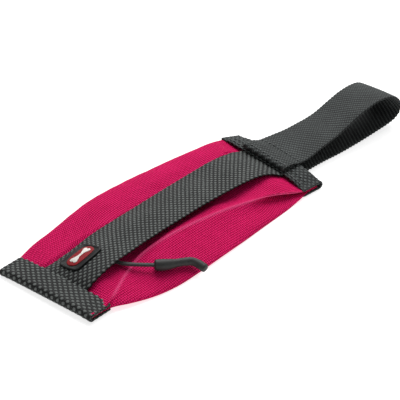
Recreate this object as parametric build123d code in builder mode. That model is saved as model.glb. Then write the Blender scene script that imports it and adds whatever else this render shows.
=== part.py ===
"""Zip-up training bumper: a flat treat pouch with a webbing cover strap, a zip and a hand loop.

Frame: origin on the underside below the middle of the pouch, +X towards the hand loop,
+Z up, -Y the side where the zip pull comes out. Millimetres.
"""
import os
from math import cos, pi, radians, sin, tan

from build123d import *

# Pouch
body_w = 70.0           # flat width, and the length of each end binding
pocket_l = 164.0        # pouch between the two bindings
pouch_top = 12.0        # height of the filled pouch at its middle
shoulder_in = 11.0      # the pouch rises from each binding to a shoulder this far in
shoulder_drop = 2.8     # the shoulders lie this far below the top
cloth_t = 1.0           # outer cloth with its backing
layers_t = 3.4          # gathered cloth layers held in a binding
near_belly = 11.0       # how far the near side bulges past the flat width
far_belly = 4.0
gusset_foot = 2.5       # height where the near gusset starts, at the belly's edge
gusset_slope = 0.25     # rise of the near gusset per millimetre towards the middle
far_slope = 1.3
lining_t = 0.4
lining_gap = 0.6        # the lining stops this far from the pocket's sides

# Webbing, one size all over
web_w = 35.0
web_t = 1.6
binding_depth = 16.0    # binding, from its cut edge to its fold
strap_over = 1.0        # the cover strap arches this much more than the pouch's own height
strap_power = 4.0       # flatness of the arch

# Hand loop
loop_reach = 91.0       # from the far binding to the end of the loop
loop_h = 22.0           # height of the loop's crown
loop_bend = 6.0         # tightest bend of the loop
tab_fold = 9.0          # length of the double, rolled front edge of the loop's tab
root_out = 1.6          # the loop's root, behind the binding
root_up = 1.0           # and above the tab
climb_run = 26.0        # from the root to the first bend
climb_part = 0.35       # that bend's share of the rise to the crown
crown_run = 60.0        # from the root to the crown
return_run = 17.0       # the lower run ends this far from the root
foot_in = 2.0           # the lower end stops this far inside the binding's edge

# Zip
zip_depth = 4.5         # middle plane of the zip, below the pouch's top
zip_near = -65.0        # near end of the slot
zip_far = 50.0          # far end of the slot
slot_half = 4.6
tape_t = 0.6
tape_w = 10.0
coil_gap = 0.7          # half the space between the two rows, which the slider's post runs in
coil_w = 2.3
coil_t = 1.3
coil_pitch = 2.4
coil_tooth = 1.2
stop_l = 1.8
slider_l = 8.0
slider_w = 8.0
slider_corner = 1.6
nose_in = 1.4           # middle of the slider's post, from its nose
nose_l = 2.0
plate_t = 0.8
slide_gap = 0.35        # clearance round the rows and the tapes
post_r = 0.6
bridge_h = 0.9          # room under the bridge, where the tab's ring sits
bridge_t = 0.6
bridge_w = 2.0
front_leg = 2.0         # the bridge's legs, from the slider's middle
rear_leg = 2.8

# Zip pull
ring_clear = 0.1
tab_t = 0.7
tab_w = 2.6
tab_l = 6.5
ring_wall = 0.9
barrel_wall = 0.1
barrel_air = 0.1        # between the barrel and the seams below it
cord_d = 2.5
sleeve_d = 6.4
grip_l = 5.0            # the tab's barrel, which holds the cord's end
pull_heading = -80.0    # direction of the tab in plan, in degrees from +X
pull_rise = 0.09        # the barrel's climb towards the strap's edge

# Label
label_l = 21.0
label_w = 12.5
label_t = 1.0
badge_t = 0.4
badge_gap = 0.05
label_in = 4.0          # from the strap's edge
label_gap = 0.3         # air between the strap and the label's stiff underside
label_x = -58.5

# Thread
thread_t = 0.35
thread_w = 0.6
stitch_l = 2.3
stitch_pitch = 3.4
row_in = 2.4            # first row of stitches, from the binding's cut edge
row_gap = 4.0
seam_in = 1.5           # seams stop this far from the webbing's edge
tab_rows = (4.0, 7.0)   # rows across the tab, from its front
slot_in = 2.2           # the zip's seams, from the slot

# Places that follow from the sizes
zip_z = pouch_top - zip_depth
shoulder_h = pouch_top - shoulder_drop
strap_rise = pouch_top + strap_over
half_l = pocket_l / 2
half_w = body_w / 2
far_base = web_t                        # the far binding stands on the loop's lower end
near_layers = web_t                     # lowest cloth layer at each end
far_layers = far_base + web_t
end_near = -half_l - binding_depth
end_far = half_l + binding_depth
near_strap = near_layers + layers_t - web_t     # underside of the strap in each binding
far_strap = far_layers + layers_t - web_t
near_top = near_layers + layers_t + web_t       # top of each binding
far_top = far_layers + layers_t + web_t
fold_r = layers_t / 2                   # inside radius of a binding's fold
slab_near = end_near + web_t + fold_r
slab_far = end_far - web_t - fold_r
floor_ramp = 10.0                       # length of the ramps up into the bindings
sky = pouch_top + 10                    # above everything in the pouch
valley_half = web_w / 2 + 0.8           # channel under the cover strap
gusset_reach = half_w + near_belly - web_w / 2 + 6
far_reach = 12.0
zip_ceiling = zip_z + tape_t / 2        # inside of the cloth over the zip
valley_floor = zip_ceiling + cloth_t
valley_foot = 7.0                       # the channel's floor rises from here
valley_ramp = 14.0                      # to here, measured in from each binding
tape_end = 2.5                          # tape beyond each end of the slot
stop_gap = 0.3
slider_x = zip_near + stop_l + stop_gap + slider_l / 2
plate_low = zip_z - coil_t / 2 - slide_gap
plate_high = zip_z + coil_t / 2 + slide_gap
plate_top = plate_high + plate_t
pivot_x = slider_x + front_leg
rear_post_x = slider_x - rear_leg
barrel_r = cord_d / 2 + barrel_wall
pull_z = valley_floor + thread_t + barrel_air + barrel_r    # middle of the barrel where it leaves the stem
tab_low = plate_top + (bridge_h - tab_t) / 2


def side_face(inset):
    """Side view of the pouch, drawn in by inset."""
    end = half_l - 2 * inset
    foot_near = (-end, near_layers + inset)
    foot_far = (end, far_layers + inset)
    crown_near = (-end, near_layers + layers_t - inset)
    crown_far = (end, far_layers + layers_t - inset)
    shoulder_near = (shoulder_in - half_l, shoulder_h - inset)
    shoulder_far = (half_l - shoulder_in, shoulder_h - inset)
    with BuildSketch(Plane.XZ) as face:
        with BuildLine():
            Polyline(shoulder_near, crown_near, foot_near, (floor_ramp - end, inset),
                     (end - floor_ramp, inset), foot_far, crown_far, shoulder_far)
            ThreePointArc(shoulder_near, (0, pouch_top - inset), shoulder_far)
        make_face()
    return face.sketch


def plan_face(inset, height=0):
    """The pouch from above, drawn in by inset."""
    end = half_l - 2 * inset
    edge = half_w - inset
    with BuildSketch(Plane.XY.offset(height)) as face:
        with BuildLine():
            ThreePointArc((-end, -edge), (0, -edge - near_belly), (end, -edge))
            Line((end, -edge), (end, edge))
            ThreePointArc((end, edge), (0, edge + far_belly), (-end, edge))
            Line((-end, edge), (-end, -edge))
        make_face()
    return face.sketch


def above_slope(edge_y, edge_z, slope, reach, inset):
    """What lies above a cloth slope that starts at one side's edge."""
    drop = inset * (1 + slope ** 2) ** 0.5
    inward = 1 if edge_y < 0 else -1
    outside_y = edge_y - 2 * inward
    inside_y = edge_y + reach * inward
    with BuildSketch(Plane.YZ) as face:
        with BuildLine():
            Polyline((outside_y, edge_z - 2 * slope - drop), (inside_y, edge_z + reach * slope - drop),
                     (inside_y, sky), (outside_y, sky), close=True)
        make_face()
    return face.sketch


def valley_face(inset):
    """Channel under the cover strap, its floor lowered by inset."""
    with BuildSketch(Plane.XZ) as face:
        with BuildLine():
            Polyline((end_near, near_strap - inset), (valley_foot - half_l, near_strap - inset),
                     (valley_ramp - half_l, valley_floor - inset),
                     (half_l - valley_ramp, valley_floor - inset),
                     (half_l - valley_foot, far_strap - inset), (end_far, far_strap - inset),
                     (end_far, sky), (end_near, sky), close=True)
        make_face()
    return face.sketch


def pouch_solid(inset):
    """The pouch between its bindings as one full solid, drawn in by inset."""
    with BuildPart() as pouch:
        extrude(side_face(inset), amount=body_w, both=True)
        extrude(plan_face(inset), amount=sky, mode=Mode.INTERSECT)
        near_edge = -half_w - near_belly
        far_edge = half_w + far_belly
        extrude(above_slope(near_edge, gusset_foot, gusset_slope, gusset_reach, inset),
                amount=half_l - 1, both=True, mode=Mode.SUBTRACT)
        extrude(above_slope(far_edge, gusset_foot, far_slope, far_reach, inset),
                amount=half_l - 1, both=True, mode=Mode.SUBTRACT)
        extrude(valley_face(inset), amount=valley_half + inset, both=True, mode=Mode.SUBTRACT)
    return pouch.part


def binding(name, fold_x, cut_x, base_z):
    """Webbing folded over one end of the pouch, from its cut edges to its fold."""
    heading = 1 if cut_x > fold_x else -1
    centre_x = fold_x + heading * (web_t + fold_r)
    centre_z = base_z + web_t + fold_r
    outer_r = fold_r + web_t
    with BuildPart() as piece:
        with BuildSketch(Plane.XZ):
            for reach, mode in ((outer_r, Mode.ADD), (fold_r, Mode.SUBTRACT)):
                with Locations(((centre_x + cut_x) / 2, centre_z)):
                    Rectangle(abs(cut_x - centre_x), 2 * reach, mode=mode)
                with Locations((centre_x, centre_z)):
                    Circle(reach, mode=mode)
        extrude(amount=half_w, both=True)
    piece.part.label = name
    export_step(piece.part, f"parts/{name}.step")


def stitch_row(name, runs, top_z):
    """Thread lying on a surface: runs are (start, end) pairs in plan, one solid for each stitch."""
    with BuildPart() as piece:
        for start, end in runs:
            along = Vector(*end) - Vector(*start)
            count = max(1, int(along.length / stitch_pitch))
            turn = Vector(1, 0, 0).get_signed_angle(along, Vector(0, 0, 1))
            for step in range(count):
                middle = Vector(*start) + along * ((step + 0.5) / count)
                place = Plane(origin=(middle.X, middle.Y, top_z)).rotated((0, 0, turn))
                with BuildSketch(place):
                    SlotOverall(stitch_l, thread_w)
                extrude(amount=thread_t)
    piece.part.label = name
    export_step(piece.part, f"parts/{name}.step")


def strap_under(x):
    """Height of the cover strap's underside at x, between the bindings."""
    share = (x + half_l) / pocket_l
    base = near_strap + (far_strap - near_strap) * share
    return base + strap_rise * (1 - abs(x / half_l) ** strap_power)


os.makedirs("parts", exist_ok=True)

# The pouch: a hollow cloth shell with a zip slot along its top and flat layers in each binding.
with BuildPart() as outer_cloth:
    add(pouch_solid(0))
    for start, stop, low in ((slab_near, -half_l, near_layers), (half_l, slab_far, far_layers)):
        with BuildSketch(Plane.XY.offset(low)):
            with Locations(((start + stop) / 2, 0)):
                Rectangle(stop - start, body_w)
        extrude(amount=layers_t)
    extrude(valley_face(0), amount=web_w / 2, both=True, mode=Mode.SUBTRACT)
    add(pouch_solid(cloth_t), mode=Mode.SUBTRACT)
    with BuildSketch(Plane.XY.offset(zip_z)):
        with Locations(((zip_near + zip_far) / 2, 0)):
            Rectangle(zip_far - zip_near, 2 * slot_half)
    extrude(amount=2 * cloth_t + tape_t, mode=Mode.SUBTRACT)
outer_cloth.part.label = "outer_cloth"
export_step(outer_cloth.part, "parts/outer_cloth.step")

# A thin coated lining lies on the pocket's floor.
with BuildPart() as lining:
    extrude(plan_face(cloth_t + lining_gap, cloth_t), amount=lining_t)
    with BuildSketch(Plane.XY.offset(cloth_t)):
        Rectangle(pocket_l - 2 * floor_ramp - 8, 3 * body_w)
    extrude(amount=lining_t, mode=Mode.INTERSECT)
lining.part.label = "lining"
export_step(lining.part, "parts/lining.step")

# End bindings, webbing folded over each end.
binding("near_binding", end_near, -half_l, 0)
binding("far_binding", end_far, half_l, far_base)

# Cover strap, sewn into both bindings and arched over the zip.
arch_stations = (-0.92, -0.8, -0.65, -0.45, 0.0, 0.45, 0.65, 0.8, 0.92)
mid_t = web_t / 2
with BuildPart() as cover_strap:
    with BuildSketch(Plane.XZ):
        with BuildLine():
            knots = [(-half_l, near_strap + mid_t)]
            knots += [(s * half_l, strap_under(s * half_l) + mid_t) for s in arch_stations]
            knots += [(half_l, far_strap + mid_t)]
            Line((slab_near + 0.5, near_strap + mid_t), knots[0])
            Spline(*knots, tangents=((1, 0), (1, 0)))
            Line(knots[-1], (slab_far - 0.5, far_strap + mid_t))
        trace(line_width=web_t)
    extrude(amount=web_w / 2, both=True)
cover_strap.part.label = "cover_strap"
export_step(cover_strap.part, "parts/cover_strap.step")

# Hand loop: its upper end lies on the far binding, with a rolled front edge.
tab_front = half_l
with BuildPart() as loop_tab:
    with BuildSketch(Plane.XZ):
        with Locations(((tab_front + end_far) / 2, far_top + mid_t)):
            Rectangle(end_far - tab_front, web_t)
        with Locations((tab_front + tab_fold / 2, far_top + web_t)):
            Rectangle(tab_fold, 2 * web_t)
    extrude(amount=web_w / 2, both=True)
    front_edges = loop_tab.edges().filter_by(Axis.Y).group_by(Axis.X)[0]
    fillet(front_edges, web_t * 0.9)
loop_tab.part.label = "loop_tab"
export_step(loop_tab.part, "parts/loop_tab.step")

# Its lower end lies under the far binding.
with BuildPart() as loop_foot:
    with BuildSketch():
        with Locations(((tab_front + foot_in + end_far) / 2, 0)):
            Rectangle(end_far - tab_front - foot_in, web_w)
    extrude(amount=web_t)
loop_foot.part.label = "loop_foot"
export_step(loop_foot.part, "parts/loop_foot.step")

# The loop itself turns about its root, just behind and above the binding.
root_x = end_far + root_out
root_z = far_top + web_t + root_up
loop_end = end_far + loop_reach - mid_t
crown_z = loop_h - mid_t
loop_points = [
    (root_x, root_z),
    (root_x + climb_run, root_z + climb_part * (crown_z - root_z)),
    (root_x + crown_run, crown_z),
    (loop_end - 4, crown_z - 1),
    (loop_end + 1, 0.5 * crown_z),
    (loop_end - 7, mid_t),
    (root_x + return_run, mid_t),
]
with BuildSketch(Plane.XZ) as loop_face:
    with BuildLine():
        Polyline(*loop_points, close=True)
    make_face()
    fillet(loop_face.vertices().sort_by(Axis.X)[1:], loop_bend)
with BuildPart() as hand_loop:
    for grow, mode in ((mid_t, Mode.ADD), (-mid_t, Mode.SUBTRACT)):
        with BuildSketch(Plane.XZ):
            add(loop_face.sketch)
            offset(amount=grow, mode=Mode.REPLACE)
        extrude(amount=web_w / 2, both=True, mode=mode)
hand_loop.part.label = "hand_loop"
export_step(hand_loop.part, "parts/hand_loop.step")

# Zip: two tapes under the edges of the slot, each with a row of elements.
zip_l = zip_far - zip_near
zip_mid = (zip_far + zip_near) / 2
teeth_count = int((zip_l - 2 * stop_l) / coil_pitch)
for side, name in ((1, "left"), (-1, "right")):
    row_y = side * (coil_gap + coil_w / 2)
    tape_y = side * (coil_gap + coil_w + tape_w / 2)
    with BuildPart() as tape:
        with BuildSketch(Plane.XY.offset(zip_z - tape_t / 2)):
            with Locations((zip_mid, tape_y)):
                Rectangle(zip_l + 2 * tape_end, tape_w)
        extrude(amount=tape_t)
    tape.part.label = f"zip_tape_{name}"
    export_step(tape.part, f"parts/zip_tape_{name}.step")
    with BuildPart() as teeth:
        with BuildSketch(Plane.XY.offset(zip_z - coil_t / 2)):
            shift = side * coil_pitch / 4
            with Locations((zip_mid + shift, row_y)):
                with GridLocations(coil_pitch, 1, teeth_count, 1):
                    SlotOverall(coil_w, coil_tooth, rotation=90)
        extrude(amount=coil_t)
    teeth.part.label = f"zip_teeth_{name}"
    export_step(teeth.part, f"parts/zip_teeth_{name}.step")

# Metal stops: a pair at the closed end and one bracket at the other.
with BuildPart() as top_stops:
    with BuildSketch(Plane.XY.offset(zip_z - coil_t / 2)):
        with Locations((zip_near + stop_l / 2, 0)):
            with GridLocations(1, 2 * coil_gap + coil_w, 1, 2):
                Rectangle(stop_l, coil_w)
    extrude(amount=coil_t)
    fillet(top_stops.edges().filter_by(Axis.X), coil_t * 0.3)
top_stops.part.label = "zip_top_stops"
export_step(top_stops.part, "parts/zip_top_stops.step")

with BuildPart() as bottom_stop:
    with BuildSketch(Plane.XY.offset(zip_z - coil_t / 2)):
        with Locations((zip_far - stop_l / 2, 0)):
            Rectangle(stop_l, 2 * (coil_gap + coil_w))
    extrude(amount=coil_t)
    fillet(bottom_stop.edges().filter_by(Axis.X), coil_t * 0.3)
bottom_stop.part.label = "zip_bottom_stop"
export_step(bottom_stop.part, "parts/zip_bottom_stop.step")

# Slider: two plates joined by a post at the nose, with rims that guide the rows.
channel_half = coil_gap + coil_w + slide_gap
with BuildPart() as slider:
    with BuildSketch(Plane.XY.offset(plate_low - plate_t)):
        with Locations((slider_x, 0)):
            RectangleRounded(slider_l, slider_w, slider_corner)
    extrude(amount=plate_top - plate_low + plate_t)
    with BuildSketch(Plane.YZ.offset(slider_x)):
        with Locations((0, zip_z)):
            Rectangle(2 * channel_half, plate_high - plate_low)
            Rectangle(2 * slider_w, tape_t + 2 * slide_gap)
    extrude(amount=slider_l, both=True, mode=Mode.SUBTRACT)
    with BuildSketch(Plane.XY.offset(plate_low)):
        with Locations((slider_x - slider_l / 2 + nose_in, 0)):
            Rectangle(nose_l, 2 * (coil_gap - slide_gap))
    extrude(amount=plate_high - plate_low)
    chamfer(slider.faces().sort_by(Axis.Z)[-1].edges(), 0.2)
slider.part.label = "zip_slider"
export_step(slider.part, "parts/zip_slider.step")

# Bridge on the slider: a bar on two legs, and the tab's ring turns on the front leg.
with BuildPart() as bridge:
    with BuildSketch(Plane.XY.offset(plate_top)):
        with Locations((pivot_x, 0), (rear_post_x, 0)):
            Circle(post_r)
    extrude(amount=bridge_h)
    with BuildSketch(Plane.XY.offset(plate_top + bridge_h)):
        with Locations(((pivot_x + rear_post_x) / 2, 0)):
            SlotOverall(pivot_x - rear_post_x + bridge_w, bridge_w)
    extrude(amount=bridge_t)
    fillet(bridge.faces().sort_by(Axis.Z)[-1].edges(), 0.2)
bridge.part.label = "slider_bridge"
export_step(bridge.part, "parts/slider_bridge.step")

# Pull tab: a ring round the bridge's leg, a flat stem and a barrel for the cord.
heading = Vector(cos(radians(pull_heading)), sin(radians(pull_heading)), 0)
cord_way = (heading + Vector(0, 0, pull_rise)).normalized()
barrel_start = Vector(pivot_x, 0, pull_z) + heading * (tab_l - 0.4)
ring_r = post_r + ring_clear
with BuildPart() as pull_tab:
    stem_place = Plane(origin=(pivot_x, 0, tab_low), x_dir=heading, z_dir=(0, 0, 1))
    with BuildSketch(stem_place):
        Circle(ring_r + ring_wall)
        with Locations((tab_l / 2, 0)):
            Rectangle(tab_l, 2 * ring_r)
        with Locations((tab_l - 1, 0)):
            Rectangle(2, tab_w)
        Circle(ring_r, mode=Mode.SUBTRACT)
    extrude(amount=tab_t)
    with BuildSketch(Plane(origin=barrel_start, x_dir=(0, 0, 1), z_dir=cord_way)):
        Circle(barrel_r)
    extrude(amount=grip_l)
pull_tab.part.label = "pull_tab"
export_step(pull_tab.part, "parts/pull_tab.step")

# Cord from the tab, out under the strap's edge and down over the gusset, with a moulded sleeve.
cord_start = barrel_start + cord_way * grip_l
cord_points = [
    cord_start,
    cord_start + cord_way * 5,
    cord_start + Vector(3.2, -9.4, 0.4),
    cord_start + Vector(8.9, -15.2, 0.0),
    cord_start + Vector(18.4, -22.5, -1.5),
    cord_start + Vector(28.9, -26.5, -2.6),
    cord_start + Vector(35.5, -29.9, -3.5),
    cord_start + Vector(36.0, -36.9, -5.4),
]
sleeve_from = 3


def corner_radii(points):
    """Largest even bend at each corner: 0.45 of the shorter run over tan of half the turn."""
    radii = []
    for before, corner, after in zip(points, points[1:], points[2:]):
        run_in = corner - before
        run_out = after - corner
        half_turn = radians(run_in.get_angle(run_out)) / 2
        radii.append(0.45 * min(run_in.length, run_out.length) / tan(half_turn))
    return radii


cord_radii = corner_radii(cord_points)
print("cord bends", [round(r, 1) for r in cord_radii])


def route_start(line):
    """Plane across a route at its start."""
    return Plane(origin=line @ 0, z_dir=line % 0)


with BuildPart() as pull_cord:
    with BuildLine() as cord_line:
        FilletPolyline(*cord_points, radius=cord_radii)
    with BuildSketch(route_start(cord_line.line)):
        Circle(cord_d / 2)
    sweep()
pull_cord.part.label = "pull_cord"
export_step(pull_cord.part, "parts/pull_cord.step")
cord_length = sum(edge.length for edge in cord_line.edges())
cord_section = pi * cord_d ** 2 / 4
print("cord length", round(cord_length, 2), "volume ratio",
      round(pull_cord.part.volume / (cord_section * cord_length), 4))

# The sleeve follows the cord's last runs; it starts a little way up the run before them.
sleeve_run = cord_points[sleeve_from + 1] - cord_points[sleeve_from]
sleeve_start = cord_points[sleeve_from] + sleeve_run * 0.46
sleeve_points = [sleeve_start] + cord_points[sleeve_from + 1:]
sleeve_radii = cord_radii[sleeve_from:]
sleeve_tail = (cord_points[-1] - cord_points[-2]).normalized() * 1.2
with BuildPart() as pull_sleeve:
    with BuildLine() as sleeve_line:
        FilletPolyline(*sleeve_points, radius=sleeve_radii)
    with BuildSketch(route_start(sleeve_line.line)):
        Circle(sleeve_d / 2)
        Circle(cord_d / 2, mode=Mode.SUBTRACT)
    sweep()
    with BuildSketch(Plane(origin=cord_points[-1], z_dir=sleeve_tail)):
        Circle(sleeve_d / 2)
    extrude(amount=sleeve_tail.length)
pull_sleeve.part.label = "pull_sleeve"
export_step(pull_sleeve.part, "parts/pull_sleeve.step")


def patch(name, length, width, thickness, lift, middle_y):
    """A thin plate that follows the top of the cover strap."""
    stations = [label_x + length * share for share in (-0.5, -0.25, 0, 0.25, 0.5)]
    over = web_t + lift + thickness / 2
    with BuildPart() as piece:
        with BuildSketch(Plane.XZ.offset(width / 2 - middle_y)):
            with BuildLine():
                Spline(*[(x, strap_under(x) + over) for x in stations])
            trace(line_width=thickness)
        extrude(amount=-width)
    piece.part.label = name
    export_step(piece.part, f"parts/{name}.step")


# Label, a moulded rubber patch sewn on the strap, with a raised badge.
label_y = web_w / 2 - label_w / 2 - label_in
patch("label", label_l, label_w, label_t, label_gap, label_y)
patch("label_badge", label_l * 0.7, label_w * 0.6, badge_t, label_gap + label_t + badge_gap, label_y)

# Thread: every stitch is its own short piece of thread on the surface.
near_row_x = -half_l - row_in
far_row_x = half_l + row_in
seam_y = half_w - seam_in
stitch_row("near_binding_stitches", [
    ((near_row_x, -seam_y), (near_row_x, seam_y)),
    ((near_row_x - row_gap, -seam_y), (near_row_x - row_gap, seam_y)),
], near_top)
tab_seam = web_w / 2 + seam_in
stitch_row("far_binding_stitches", [
    ((x, side * tab_seam), (x, side * seam_y)) for x in (far_row_x, far_row_x + row_gap) for side in (-1, 1)
], far_top)
tab_row = web_w / 2 - seam_in
stitch_row("loop_tab_stitches", [
    ((tab_front + x, -tab_row), (tab_front + x, tab_row)) for x in tab_rows
], far_top + 2 * web_t)
slot_seam = slot_half + slot_in
stitch_row("zip_stitches", [
    ((zip_near, side * slot_seam), (zip_far, side * slot_seam)) for side in (-1, 1)
], valley_floor)
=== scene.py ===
"""A zip-up training bumper: woven pouch, webbing bindings and cover strap, zip, hand loop."""
import math

import bmesh
import bpy
import numpy as np
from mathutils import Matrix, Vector


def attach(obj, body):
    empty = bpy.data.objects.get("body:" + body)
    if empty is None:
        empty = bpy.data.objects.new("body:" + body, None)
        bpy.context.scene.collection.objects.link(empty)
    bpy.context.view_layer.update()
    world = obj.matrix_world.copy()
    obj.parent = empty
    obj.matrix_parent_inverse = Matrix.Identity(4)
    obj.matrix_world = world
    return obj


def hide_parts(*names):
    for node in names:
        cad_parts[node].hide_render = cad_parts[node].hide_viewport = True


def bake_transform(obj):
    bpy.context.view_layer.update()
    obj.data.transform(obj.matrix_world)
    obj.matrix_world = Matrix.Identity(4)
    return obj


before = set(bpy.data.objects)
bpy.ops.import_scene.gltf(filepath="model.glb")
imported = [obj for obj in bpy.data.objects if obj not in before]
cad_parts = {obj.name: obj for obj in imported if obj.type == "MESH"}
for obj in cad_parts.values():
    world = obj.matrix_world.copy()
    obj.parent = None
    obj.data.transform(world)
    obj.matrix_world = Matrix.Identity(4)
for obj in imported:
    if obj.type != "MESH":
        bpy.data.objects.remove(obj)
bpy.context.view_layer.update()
scene = bpy.context.scene

# ---- sizes, in millimetres, of the real materials ----
MM = 0.001
web_w, web_t = 35.0, 1.6            # webbing
binding_weave = (1.75, 2.1)         # pitch of its warp yarns across, and of its weft yarns along
strap_weave = (1.75, 1.7)
loop_weave = (1.35, 1.3)            # finer, in the hand loop
weave_depth, loop_depth = 0.42, 0.26    # how far its yarns stand up, less in the finer hand loop
loop_step = 0.27                    # how far each warp yarn of the loop is out of step with the next
cloth_t = 0.9
half_l, binding_depth = 82.0, 16.0  # from the middle to a binding, and how deep a binding is
end_x = half_l + binding_depth
body_w = 70.0

# ---- camera, at the product view's angle ----
view_azimuth, view_elevation, view_distance = math.radians(-46.1), math.radians(33.0), 1.2
view_target = Vector((0.0357, 0.0085, 0.0))
back = Vector((math.sin(view_azimuth) * math.cos(view_elevation),
               -math.cos(view_azimuth) * math.cos(view_elevation), math.sin(view_elevation)))
camera_data = bpy.data.cameras.new("camera")
camera_data.sensor_width, camera_data.lens = 36.0, 182.6
camera = bpy.data.objects.new("camera", camera_data)
camera.location = view_target + back * view_distance
camera.rotation_mode = "QUATERNION"
camera.rotation_quaternion = (-back).to_track_quat("-Z", "Y")
scene.collection.objects.link(camera)
scene.camera = camera


# ---- small helpers ----
def ease(x, low, high):
    """A soft step from 0 at low to 1 at high."""
    u = np.clip((np.asarray(x, float) - low) / (high - low), 0, 1)
    return u * u * (3 - 2 * u)


def through(stations, values, x):
    """A smooth curve through the values at the stations."""
    s, v = np.asarray(stations, float), np.asarray(values, float)
    slope = np.gradient(v, s)
    x = np.clip(x, s[0], s[-1])
    i = np.clip(np.searchsorted(s, x, side="right") - 1, 0, len(s) - 2)
    h = s[i + 1] - s[i]
    u = (x - s[i]) / h
    return ((1 + 2 * u) * (1 - u) ** 2 * v[i] + u * (1 - u) ** 2 * h * slope[i]
            + u * u * (3 - 2 * u) * v[i + 1] + u * u * (u - 1) * h * slope[i + 1])


def unit(v):
    """Each direction, made one long."""
    return v / np.maximum(np.linalg.norm(v, axis=-1, keepdims=True), 1e-9)


def stack(*parts):
    """Points from their separate coordinates."""
    return np.stack(np.broadcast_arrays(*parts), -1)


def run_along(line):
    """How far along a line each of its points is."""
    return np.concatenate([[0], np.cumsum(np.linalg.norm(np.diff(line, axis=0), axis=1))])


def ripple(x, y, size, seed):
    """Soft uneven waves, from -1 to 1, about that many millimetres long."""
    draw = np.random.default_rng(seed)
    waves, total = 5, 0
    for _ in range(waves):
        turn, phase, scale = draw.uniform(0, math.tau), draw.uniform(0, math.tau), draw.uniform(0.7, 1.5)
        total = total + np.sin(math.tau * (x * math.cos(turn) + y * math.sin(turn)) / (size * scale) + phase)
    return total / waves


# ---- how the soft bumper lies: a gentle sideways bow, and its ends rolled a little ----
bow_mid, far_droop, far_pitch = 2.5, 1.4, 0.3
near_roll, far_roll = math.radians(0.9), math.radians(3.3)
near_level, far_level = -45, 30                     # between these the pouch lies level
loop_level, pitch_level = (100, 138), (100, 132)    # over these the loop comes back to level
droop_span, pitch_span = (15, 33), (5, 34)          # across, where the far corners go down
floor_softness = 0.12                               # how gently the underside meets the floor


def drift(x):
    """The sideways bow: most in the middle, and straight on beyond the ends."""
    inside = bow_mid * (1 - np.square(x / end_x))
    return np.where(np.abs(x) <= end_x, inside, -2 * bow_mid / end_x * (np.abs(x) - end_x))


def lie(x, y):
    """How far the rolled ends lift a point of the flat bumper."""
    near = 1 - ease(x, -half_l, near_level)
    far = ease(x, far_level, half_l) * (1 - ease(x, *loop_level))
    droop = far * far_droop * ease(-y, *droop_span)
    pitched = (1 - ease(x, *pitch_level)) * ease(y, *pitch_span)
    pitch = far_pitch * np.clip(x - half_l, 0, binding_depth) * pitched
    return (near * math.tan(near_roll) * (body_w / 2 - y) + far * math.tan(far_roll) * (y + body_w / 2)
            - droop - pitch)


def settle(p):
    """Points of the straight, flat bumper, moved to where they lie, and kept above the floor."""
    x, y, z = p[..., 0], p[..., 1], p[..., 2]
    slope = -2 * bow_mid * np.clip(x, -end_x, end_x) / end_x ** 2
    rolled = z + lie(x, y)
    above_floor = (rolled + np.sqrt(np.square(rolled) + floor_softness)) / 2
    return stack(x - slope * y, y + drift(x), above_floor)


# ---- mesh makers ----
def grid_quads(rows, columns, offset=0, closed=False):
    """The four-sided faces of a grid of points, closed round if it is a tube."""
    i, j = np.meshgrid(np.arange(rows - 1), np.arange(columns if closed else columns - 1), indexing="ij")
    k = (j + 1) % columns
    return np.stack([i * columns + j, (i + 1) * columns + j, (i + 1) * columns + k, i * columns + k],
                    -1).reshape(-1, 4) + offset


def make_piece(name, points, faces, material, cut=None, crown=None):
    """A mesh object from points in millimetres. cut is where each point lies on the flat material, and
    crown is how high it stands in webbing, or, on the canvas, how strongly a painted highlight along the
    crease lies there."""
    mesh = bpy.data.meshes.new(name)
    mesh.from_pydata((points * MM).tolist(), [], faces)
    mesh.update()
    form = bmesh.new()
    form.from_mesh(mesh)
    bmesh.ops.recalc_face_normals(form, faces=form.faces)
    form.to_mesh(mesh)
    form.free()
    if cut is not None:
        corner = np.empty(len(mesh.loops), np.int32)
        mesh.loops.foreach_get("vertex_index", corner)
        layer = mesh.uv_layers.new(name="cut")
        layer.data.foreach_set("uv", cut[corner].astype(np.float32).ravel())
    if crown is not None:
        mesh.attributes.new("crown", "FLOAT", "POINT").data.foreach_set("value", crown.astype(np.float32))
    mesh.polygons.foreach_set("use_smooth", np.ones(len(mesh.polygons), bool))
    mesh.materials.append(material)
    piece = bpy.data.objects.new(name, mesh)
    scene.collection.objects.link(piece)
    return piece


def skin(name, outer, inner, material, cut, crown=None):
    """A closed cloth or webbing skin between two grids of points, stitched along its four edges."""
    rows, columns = outer.shape[:2]
    count = rows * columns
    a = np.arange(count).reshape(rows, columns)
    rim = np.concatenate([a[0, :], a[1:, -1], a[-1, -2::-1], a[-2:0:-1, 0]])
    following = np.roll(rim, -1)
    sides = np.stack([rim, following, following + count, rim + count], -1)
    faces = np.concatenate([grid_quads(rows, columns), grid_quads(rows, columns, count)[:, ::-1], sides])
    points = np.concatenate([outer.reshape(-1, 3), inner.reshape(-1, 3)])
    flat = cut.reshape(-1, 2)
    tall = None if crown is None else np.concatenate([c.reshape(-1) for c in crown])
    return make_piece(name, points, faces.tolist(), material, np.concatenate([flat, flat]), tall)


yarn_round, yarn_mid, yarn_swing = 0.97, 0.56, 0.44     # a warp yarn's section and its ups and downs
weft_low, weft_swing = 0.1, 0.34                        # the weft yarn that shows between
selvedge, scallop_out, edge_thinning = 1.2, 0.28, 0.28  # its edges: how wide, how wavy, how much thinner


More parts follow.
